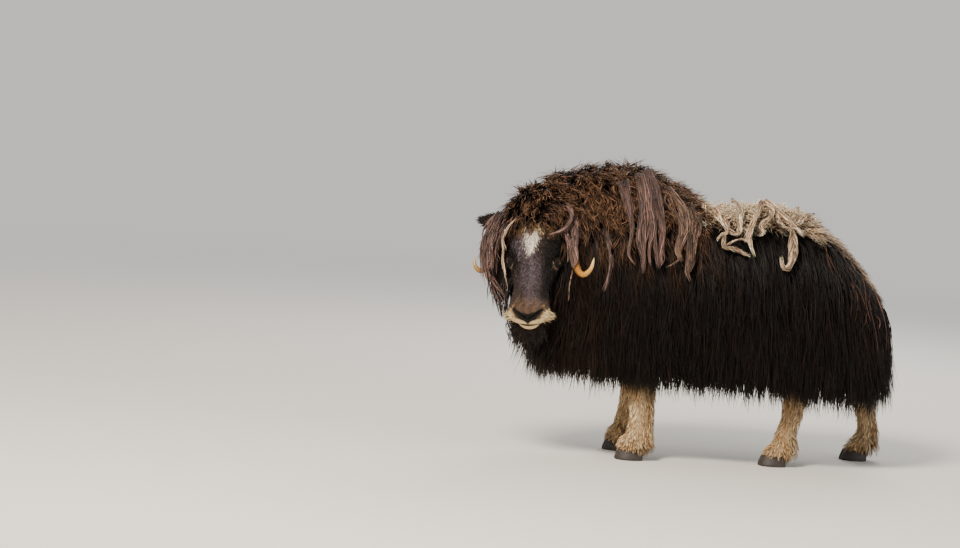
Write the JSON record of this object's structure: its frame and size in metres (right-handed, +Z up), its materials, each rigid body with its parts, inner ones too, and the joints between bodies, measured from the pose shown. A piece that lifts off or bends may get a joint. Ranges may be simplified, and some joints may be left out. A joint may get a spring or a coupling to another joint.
{
  "type": "muskox",
  "caption": "Life-size still muskox: humped, long hanging coat over pale short legs, head turned to its left, thin hooked horns.",
  "frame": {"origin": "on the floor under the middle of the animal's box: the soles stand on z = 0", "axes": "+X towards the rump (the body faces -X), +Y towards the animal's right side, +Z up; the head is turned towards -Y"},
  "size_m": [2.028, 0.7709, 1.2901],
  "materials": {
    "coat": "long coarse dark brown hair with paler brown tips and shed grey-brown wool",
    "face": "short grey-brown fur, white star, cream lips",
    "stocking": "short pale golden tan fur",
    "horn": "smooth amber horn with fine lengthwise ridges and a pale tip",
    "hoof": "dull dark grey-brown horn, worn at the toe",
    "eye": "wet dark brown"
  },
  "bodies": {
    "root": {"head": "face", "horn_left": "horn", "horn_right": "horn", "ear_left": "coat", "ear_right": "coat", "eye_left": "eye", "eye_right": "eye", "neck": "coat", "forequarters": "coat", "barrel": "coat", "hindquarters": "coat", "tail": "coat", "leg_front_left": "stocking", "leg_front_right": "stocking", "leg_rear_left": "stocking", "leg_rear_right": "stocking", "hoof_front_left_outer": "hoof", "hoof_front_left_inner": "hoof", "hoof_front_right_outer": "hoof", "hoof_front_right_inner": "hoof", "hoof_rear_left_outer": "hoof", "hoof_rear_left_inner": "hoof", "hoof_rear_right_outer": "hoof", "hoof_rear_right_inner": "hoof"}
  },
  "joints": []
}
